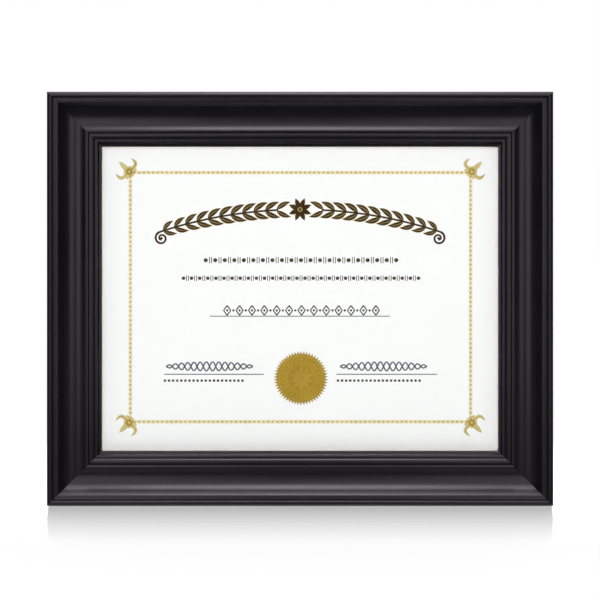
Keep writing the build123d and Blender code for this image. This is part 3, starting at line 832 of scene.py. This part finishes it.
def makeArch():
    look, unit = archOrnament, perPixel
    places, curl = laurelPlaces(), math.radians(look["leafCurl"])
    length, width, rim = look["leafLength"] * unit, look["leafWidth"] * unit, look["rim"] * unit
    tanLeaf = inkPatch("tanLeaf", leafOutline(length + rim * look["rimTip"], width + rim, curl), 2)
    tan = [stamped(tanLeaf, places, "laurel_rim")]
    brown = [stamped(inkPatch("leaf", leafOutline(length, width, curl), 4), places, "laurel_leaves")]
    widths = [look["vein"] * unit * share for share in look["veinWidths"]]
    line = leafLine(length, curl, len(widths) - 1, *look["veinReach"])
    veins = [stamped(inkPatch("vein", strokeOutline(line, widths), 5), places, "laurel_veins")]
    steps, reach = look["stemSteps"], look["scroll"] * unit
    first = math.radians(look["stemStart"])
    last = math.radians(look["halfAngle"] + look["stemOverrun"])
    for side in (-1, 1):
        stem = [archPoint(side, first + (last - first) * i / steps)[0] for i in range(steps + 1)]
        brown.append(inkPatch("stem", strokeOutline(stem, [look["stem"] * unit] * len(stem)), 3))
        spot, inward = archPoint(side, last)
        line = scrollLine(reach)
        widths = [look["stem"] * unit * (look["scrollWidth"] - look["scrollThins"] * i / len(line))
                  for i in range(len(line))]
        eye = inkDisc("scrollEye", (0, reach), reach * look["scrollEye"], 12, 3)
        for patch in (inkPatch("scroll", strokeOutline(line, widths), 3), eye):
            brown.append(recalculated(turned(patch, flatPlace(spot, inward + math.pi, (1, -side)))))
    middle = archPoint(1, 0)[0]
    around = [flatPlace(middle, math.pi * (2 * i + 1) / look["petals"]) for i in range(look["petals"])]
    long, wide = look["petalLength"] * unit, look["petalWidth"] * unit
    brown.append(stamped(inkPatch("petal", leafOutline(long, wide), 6), around, "petals"))
    tan.append(stamped(inkPatch("rimPetal", leafOutline(long + rim / 2, wide + rim), 5), around, "petalRims"))
    veins.append(inkDisc("rosetteEye", middle, look["eye"] * unit, 16, 7))
    brown.append(inkDisc("rosetteDot", middle, look["dot"] * unit, 12, 8))
    finishPrint(tan, "laurel_rim", "tanInk")
    finishPrint(brown, "laurel_leaves", "brownInk")
    finishPrint(veins, "laurel_veins", "tanInk")


def rowSpots(y, first, last, count):
    # the middle of each of a row's equal parts, and half a part
    spots = [atPixel(first + (last - first) * (i + 0.5) / count, y).xy for i in range(count)]
    return spots, (last - first) / count / 2


def beadAndReel(row, size, reel):
    # a row of ovals with a pair of upright bars between them
    layout = printLayout
    spots, half = rowSpots(*row)
    bead = inkPatch("bead", ovalOutline((0, 0), size[0] * perPixel, size[1] * perPixel, 12))
    bar = inkLine("bar", inPixels(0, -reel / 2), inPixels(0, reel / 2), layout["reelThick"])
    bars = [flatPlace(spot + inPixels(half + side * layout["reelApart"], 0)) for spot in spots[:-1]
            for side in (-1, 1)]
    return [stamped(bead, [flatPlace(spot) for spot in spots], "beads"), stamped(bar, bars, "bars")]


def lozengeRow(row):
    # a row of open lozenges, each with a dot in it, and a dot between each two
    layout = printLayout
    wide, tall = layout["lozengeSize"]
    widths = [layout["lozengeThick"] * perPixel] * 3
    parts = []
    for side in (-1, 1):
        bent = [inPixels(0, tall / 2), inPixels(side * wide / 2, 0), inPixels(0, -tall / 2)]
        parts.append(inkPatch("lozengeSide", strokeOutline(bent, widths), 1.5 + side / 2))
    dot = inkDisc("dot", (0, 0), layout["lozengeDot"] * perPixel, 10)
    between = copyOf(dot, "between")
    spots, half = rowSpots(*row)
    return [stamped(joined(parts + [dot], "lozenge"), [flatPlace(spot) for spot in spots], "lozenges"),
            stamped(between, [flatPlace(spot + inPixels(half, 0)) for spot in spots[:-1]], "between")]


def waveRow(y, first, last):
    # two crossed waves that swell towards the middle of the row
    layout = printLayout
    steps = layout["waves"] * layout["waveSteps"]
    strands = []
    for strand in range(2):
        line = []
        for share in (i / steps for i in range(steps + 1)):
            swell = layout["waveHeight"] * math.sqrt(math.sin(math.pi * share))
            turn = 2 * math.pi * layout["waves"] * share + math.pi * strand
            line.append(atPixel(first + (last - first) * share, y).xy + inPixels(0, swell * math.sin(turn)))
        widths = [layout["waveThick"] * perPixel] * len(line)
        strands.append(inkPatch("strand", strokeOutline(line, widths), strand + 1))
    return strands


def makeRows():
    # rows of ornament, the plain rules and a row of dots under two of them
    layout, pitch = printLayout, printLayout["dotPitch"]
    rows = [patch for row in layout["beadRows"] for patch in beadAndReel(*row)]
    rows += lozengeRow(layout["lozengeRow"])
    for y, first, last in layout["dotRows"]:
        dot = inkDisc("dot", atPixel(first, y).xy, layout["dotSize"] * perPixel, 8)
        rows.append(repeated(dot, round((last - first) / pitch), inPixels(pitch, 0)))
    waves = [strand for row in layout["waveRows"] for strand in waveRow(*row)]
    rules = [inkLine("rule", atPixel(first, y).xy, atPixel(last, y).xy, thick)
             for y, first, last, thick in layout["rules"]]
    finishPrint(rows, "bead_and_reel_rows", "greyInk")
    finishPrint(rules, "plain_rules", "ruleInk")
    finishPrint(waves, "wave_rows", "slateInk")


print("stage: print")
makeBorder()
makeCorners()
makeArch()
makeRows()

print("stage: seal")
seal = {
    "middle": (300.9, 378.2), "tip": 18.9 * mm, "root": 16.4 * mm, "teeth": 54, "base": 0.1 * mm,
    # the outer and inner radius of each ring and its rise
    "rings": ((15.9 * mm, 14.5 * mm, 0.12 * mm), (13.7 * mm, 13.2 * mm, 0.06 * mm),
              (9.9 * mm, 9.3 * mm, 0.08 * mm), (8.7 * mm, 8.4 * mm, 0.05 * mm)),
    "wreath": 11.6 * mm, "wreathSpread": 0.8 * mm, "leaves": 24, "leaf": (3.0 * mm, 1.35 * mm),
    "leafLean": 27.0, "relief": 0.17 * mm, "petals": 10,
    # the reach, length and width of each row of petals
    "petalRows": ((5.4 * mm, 5.4 * mm, 2.5 * mm), (2.9 * mm, 3.4 * mm, 1.7 * mm)),
    "boss": 1.7 * mm, "bossRise": 0.272 * mm,
}


def sealPlace(angle, reach, turn=0.0):
    # a place on the foil, from its middle and its top, turned in the foil's plane
    middle = atPixel(*seal["middle"])
    level = frameSizes["sheetFront"] - printLayout["inkSink"] + seal["base"]
    spot = Vector((middle.x + math.sin(angle) * reach, middle.y + math.cos(angle) * reach, level))
    return Matrix.Translation(spot) @ Matrix.Rotation(turn - angle, 4, "Z")


def embossed(place, length, width, rise):
    # a flattened dome, long towards X, stamped at a place
    bpy.ops.mesh.primitive_uv_sphere_add(segments=12, ring_count=8, radius=0.5)
    dome = bpy.context.object
    dome.scale = (length, width, 2 * rise)
    return turned(applyPlace(dome), place)


def embossedRing(outer, inner, rise):
    thick = (outer - inner) / 2
    bpy.ops.mesh.primitive_torus_add(location=sealPlace(0, 0).translation, major_segments=120,
                                     minor_segments=10, major_radius=(outer + inner) / 2, minor_radius=thick)
    ring = bpy.context.object
    ring.scale = (1, 1, rise / thick)
    return applyPlace(ring)


def makeSeal():
    # a toothed foil disc with embossed rings, a wreath and a rosette; the embossing has real relief and is
    # also coloured lighter than the disc, a painted highlight
    look, outline = seal, []
    for i in range(2 * look["teeth"]):
        place = sealPlace(math.pi * i / look["teeth"], look["root"] if i % 2 else look["tip"])
        outline.append(place.translation - Vector((0, 0, look["base"])))
    disc = drawPrism("foil_seal_disc", outline, (0, 0, look["base"]))
    raised = [embossedRing(*ring) for ring in look["rings"]]
    for i in range(look["leaves"]):
        for side in (-1, 1):
            place = sealPlace(2 * math.pi * i / look["leaves"], look["wreath"] + side * look["wreathSpread"],
                              side * math.radians(look["leafLean"]))
            raised.append(embossed(place, *look["leaf"], look["relief"]))
    for row, (reach, length, width) in enumerate(look["petalRows"]):
        for i in range(look["petals"]):
            place = sealPlace(2 * math.pi * (i + row / 2) / look["petals"], reach, math.pi / 2)
            raised.append(embossed(place, length, width, look["relief"] * (1 + row / 3)))
    raised.append(embossed(sealPlace(0, 0), look["boss"], look["boss"], look["bossRise"]))
    # the embossing gets the lighter foil, a painted highlight
    for piece, paint in ((disc, "goldFoil"), (joined(raised, "foil_seal_emboss"), "raisedFoilPaintedHighlight")):
        turned(smoothByAngle(piece, 50), standing)
        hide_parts("foil_seal")
        dressed(piece, "frame", paint)


makeSeal()

print("stage: hardware")
plated = ("plated_steel", "platedSteel")
hardware = {
    # each node's eased edge in millimetres, its slot and its paint
    "easel_leg": (0.35, "hardboard", "brownHardboard"), "hinge_board_leaf": (0.12, *plated),
    "hinge_leg_leaf": (0.12, *plated), "hinge_pin": (0.15, "plated_steel", "nailSteel"),
    "hinge_board_rivets": (0.08, *plated), "hinge_leg_rivets": (0.08, *plated),
    "ribbon_board_rivet": (0.08, *plated), "ribbon_leg_rivet": (0.08, *plated),
    "turn_button_screws": (0.07, *plated), "sawtooth_hanger_top": (0.1, *plated),
    "sawtooth_hanger_side": (0.1, *plated), "hanger_nails": (0.07, "nail_steel", "nailSteel"),
    "wall_bumpers": (0.1, "bumper_rubber", "bumperRubber"),
}
buttonEase = 0.18 * mm


def makeHardware():
    for node, (ease, slotName, paint) in hardware.items():
        dressed(softenedCopy(node, ease * mm, 2), "leg" if "_leg" in node else "frame", paint)
    for joint in frame["joints"]:
        if joint["name"].startswith("turn_"):
            piece = softenedCopy(joint["name"].replace("turn_", "turn_button_"), buttonEase, 3)
            dressed(piece, joint["child"], "buttonSteel")


makeHardware()

print("stage: ribbon")
ribbon = {
    # in millimetres and degrees
    "width": 10.0, "thick": 0.45, "offFace": 0.45, "tab": 11.0, "bend": 1.6, "bendSteps": 8, "step": 0.8,
    "boardEnd": -45.15, "legEnd": -59.15, "legFace": -0.9, "hinge": (57.35, -2.1), "openAngle": 25.0,
    "legShare": 0.88, "pieces": 12,
}


def ribbonCorners():
    # the corners of the ribbon's middle line, in the frame's own Y and Z
    look = ribbon
    turn = Matrix.Rotation(math.radians(look["openAngle"]), 2)
    hinge = Vector(look["hinge"])
    legLevel = look["legFace"] + look["offFace"]
    onLeg = (Vector((look["legEnd"] - back, legLevel)) for back in (look["tab"], 0))
    onBoard = [Vector((look["boardEnd"] - back, -look["offFace"])) for back in (0, look["tab"])]
    return onBoard + [hinge + turn @ (spot - hinge) for spot in onLeg]


def ribbonLine():
    # the line through the corners, with its two bends rounded
    corners, bend, steps = ribbonCorners(), ribbon["bend"], ribbon["bendSteps"]
    line = [corners[0]]
    for before, corner, after in zip(corners, corners[1:], corners[2:]):
        back, onward = (before - corner).normalized(), (after - corner).normalized()
        half = math.acos(max(-1, min(1, back.dot(onward)))) / 2
        reach = bend / math.tan(half)
        centre = corner + (back + onward).normalized() * bend / math.sin(half)
        first, last = corner + back * reach - centre, corner + onward * reach - centre
        sweep = first.angle_signed(last)
        line += [centre + Matrix.Rotation(-sweep * i / steps, 2) @ first for i in range(steps + 1)]
    return [point * mm for point in line + [corners[-1]]]


def makeRibbonPiece():
    # a woven strip along the CAD ribbon's own line
    look = ribbon
    width, bends = look["width"] * mm, ribbonLine()
    line = []
    for before, after in zip(bends, bends[1:]):
        count = max(1, round((after - before).length / (look["step"] * mm)))
        line += [before.lerp(after, i / count) for i in range(count)]
    line.append(bends[-1])
    lengths = [0.0]
    for before, after in zip(line, line[1:]):
        lengths.append(lengths[-1] + (after - before).length)
    strip = drawChain("woven_ribbon", [Vector((-width / 2, point.x, point.y)) for point in line])
    editAll(strip)
    for i in range(look["pieces"]):
        bpy.ops.mesh.extrude_region_move(TRANSFORM_OT_translate={"value": (width / look["pieces"], 0, 0)})
    toObject()
    places = strip.data.uv_layers.new(name="UVMap").data
    for loop in strip.data.loops:
        spot = strip.data.vertices[loop.vertex_index].co
        near = min(range(len(line)), key=lambda i: (line[i] - Vector((spot.y, spot.z))).length)
        places[loop.index].uv = (spot.x / width + 0.5, lengths[near] / width)
    applied(strip, "SOLIDIFY", thickness=look["thick"] * mm, offset=0.0)
    turned(smoothByAngle(strip, 50), standing)
    strip.data.materials.clear()
    strip.data.materials.append(paints["wovenRibbon"])
    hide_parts("stay_ribbon")
    near, far = (standing @ Vector((0, corner.x * mm, corner.y * mm)) for corner in ribbonCorners()[1:3])
    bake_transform(strip)
    print("ribbon length in millimetres:", round(lengths[-1] / mm, 2))


makeRibbonPiece()

print("stage: floor, light and camera")
setting = {
    "cameraDistance": 3.0, "sensor": 36.0, "clipEnd": 100.0, "floorSize": 40.0, "floorDrop": 0.2 * mm,
    # the floor: how glossy it is, and how far from the frame that and its brightness change; that brightness
    # is a painted glow that only reflections see, with a painted pool of light towards each side
    "floorRough": 0.1, "gloss": 0.52, "glossEase": 1.15, "glossReach": 0.088, "sideReach": 0.05,
    "backReach": 0.1, "shadowShare": 0.13, "shadowFade": (0.3, 1.1), "paintedGlowNear": 0.15, "paintedGlowFar": 0.1,
    "paintedGlowFade": 0.22, "whiteReach": 0.3, "paintedPoolLevel": 0.3, "paintedPoolReach": (0.2, 0.6),
    # the studio: its levels, and between which parts of a direction each of them rises
    "studioLevel": 0.31, "ceilingLevel": 1.05, "ceilingRise": (0.3, 0.75), "sideLevel": 0.03,
    "sideRise": (0.45, 0.8), "coveRise": (0.05, 0.6), "mattLoss": 0.75, "flagLevel": 0.03,
    "flagCone": (16.0, 8.0),
}


def makeFloor():
    # white to the camera; to the frame's reflections a grey painted glow, brighter near its foot, white
    # behind it and with a painted pool of light towards each side; a faint mirror under it
    look = setting
    bpy.ops.mesh.primitive_plane_add(size=look["floorSize"], location=(0, 0, -look["floorDrop"]))
    floor = bpy.context.object
    floor.name = "floor"
    applyPlace(floor)
    nodes, shader = newMaterial("paleFloor")
    nodes.fill(shader, {"Base Color": (0.86, 0.86, 0.86, 1), "Roughness": 0.9, "Specular IOR Level": 0.0})
    path = nodes.add("LightPath").outputs
    place = nodes.add("TexCoord").outputs["Object"]
    split = nodes.add("SeparateXYZ", {"Vector": place}).outputs
    aside = nodes.math("ABSOLUTE", split["X"])
    contact = (standing @ Vector((0, -frameHeight / 2, 0))).y
    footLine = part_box("easel_leg")[1][1]
    # the floor's glow in reflections is painted light: one level near the foot, another farther off, a
    # painted pool of light to the sides, and white behind
    near = nodes.spread(split["Y"], contact - look["paintedGlowFade"], contact, look["paintedGlowFar"], look["paintedGlowNear"])
    paintedLightPool = nodes.spread(aside, *look["paintedPoolReach"], 0.0, look["paintedPoolLevel"])
    behind = nodes.spread(split["Y"], contact, contact + look["whiteReach"])
    level = nodes.math("MAXIMUM", nodes.math("MAXIMUM", near, paintedLightPool),
                       nodes.math("MAXIMUM", behind, path["Is Camera Ray"]))
    glow = nodes.add("Emission", {"Color": (1, 1, 1, 1), "Strength": level}).outputs[0]
    away = nodes.vectorMath("LENGTH", place)
    share = nodes.spread(away, *look["shadowFade"], 1 - look["shadowShare"], 1.0)
    seen = nodes.math("MAXIMUM", nodes.math("MULTIPLY", path["Is Camera Ray"], share), path["Is Glossy Ray"])
    lit = nodes.mix(seen, shader.outputs["BSDF"], glow)
    mirror = nodes.add("BsdfAnisotropic", {"Color": (1, 1, 1, 1), "Roughness": look["floorRough"]}).outputs[0]
    front = nodes.spread(split["Y"], contact - look["glossReach"], contact)
    back = nodes.spread(split["Y"], footLine, footLine + look["backReach"], 1.0, 0.0)
    beside = nodes.spread(aside, frameWidth / 2, frameWidth / 2 + look["sideReach"], 1.0, 0.0)
    inside = nodes.math("MULTIPLY", nodes.math("MULTIPLY", front, beside), back)
    gloss = nodes.math("MULTIPLY", nodes.math("POWER", inside, look["glossEase"]), look["gloss"])
    nodes.surface(nodes.mix(gloss, lit, mirror))
    floor.data.materials.append(paints["paleFloor"])


def makeWorld():
    # a white cove behind, a dimmer studio in front with a dark flag opposite the glass
    look = setting
    world = bpy.data.worlds.new("studio")
    bpy.context.scene.world = world
    world.use_nodes = True
    nodes = Nodes(world.node_tree)
    path = nodes.add("LightPath").outputs
    ray = nodes.add("TexCoord").outputs["Generated"]
    split = nodes.add("SeparateXYZ", {"Vector": ray}).outputs
    above = nodes.vectorMath("DOT_PRODUCT", ray, tuple(upTheFrame))
    ceiling = nodes.spread(above, *look["ceilingRise"], look["studioLevel"], look["ceilingLevel"])
    aside = nodes.math("ABSOLUTE", split["X"])
    front = nodes.spread(aside, *look["sideRise"], ceiling, look["sideLevel"])
    matt = nodes.math("MULTIPLY_ADD", path["Is Diffuse Ray"], -look["mattLoss"], 1.0)
    cove = nodes.spread(split["Y"], *look["coveRise"])
    studio = nodes.math("MAXIMUM", nodes.math("MULTIPLY", front, matt), cove)
    facing = nodes.vectorMath("DOT_PRODUCT", ray, tuple(towardViewer))
    outerCone, innerCone = (math.cos(math.radians(angle)) for angle in look["flagCone"])
    flag = nodes.spread(facing, outerCone, innerCone, 1.0, look["flagLevel"])
    level = nodes.math("MAXIMUM", nodes.math("MULTIPLY", studio, flag), path["Is Camera Ray"])
    nodes.fill(world.node_tree.nodes["Background"], {"Color": (1, 1, 1, 1), "Strength": level})


lamps = {
    # place in the frame's own axes, the height that it faces, width, height, watts, and whether it lights
    # matt surfaces and glossy ones
    "overhead": ((0, 3.97, 1.2), 0.0, 2.2, 2.4, 101.0, False, True),
    "tallLeft": ((-1.75, 0.75, 3.75), 0.75, 1.9, 3.3, 22.0, False, True),
    "tallRight": ((1.75, 0.75, 3.75), 0.75, 1.9, 3.3, 18.0, False, True),
    "back": ((1.2, 1.8, -5.4), 0.0, 4.0, 4.0, 60.0, True, True),
    "ceiling": ((0, 4.2, -0.9), 0.0, 2.4, 2.4, 150.0, True, False),
    "fill": ((0, 0.3, 5.0), 0.0, 1.8, 1.8, 198.0, True, False),
}


def makeLamps():
    for name, (place, faced, width, height, watts, matt, glossy) in lamps.items():
        outward = (Vector(place) - Vector((0, faced, 0))).normalized()
        across = Vector((0, 1, 0)).cross(outward).normalized()
        turn = Matrix((across, outward.cross(across), outward)).transposed()
        bpy.ops.object.light_add(type="AREA", location=standing @ Vector(place))
        lamp = bpy.context.object
        lamp.name = name
        lamp.rotation_euler = (standing.to_3x3() @ turn).to_euler()
        lamp.data.shape = "RECTANGLE"
        lamp.data.size = width
        lamp.data.size_y = height
        lamp.data.energy = watts
        lamp.visible_camera = False
        lamp.visible_diffuse = matt
        lamp.visible_glossy = lamp.visible_transmission = glossy


def makeCamera():
    # square on to the leaning face, as in the photograph
    distance, sensor, side = setting["cameraDistance"], setting["sensor"], photoEdges["side"]
    aim = atPixel(side / 2, side / 2) + Vector((0, 0, frameSizes["railDepth"]))
    bpy.ops.object.camera_add(location=standing @ (aim + Vector((0, 0, distance))))
    camera = bpy.context.object
    camera.name = "photoCamera"
    camera.rotation_euler = standing.to_3x3().to_euler()
    camera.data.sensor_width = sensor
    camera.data.lens = sensor * distance / (side * perPixel)
    camera.data.clip_end = setting["clipEnd"]
    bpy.context.scene.camera = camera


makeFloor()
makeWorld()
makeLamps()
makeCamera()
bpy.context.scene.view_settings.view_transform = "Standard"
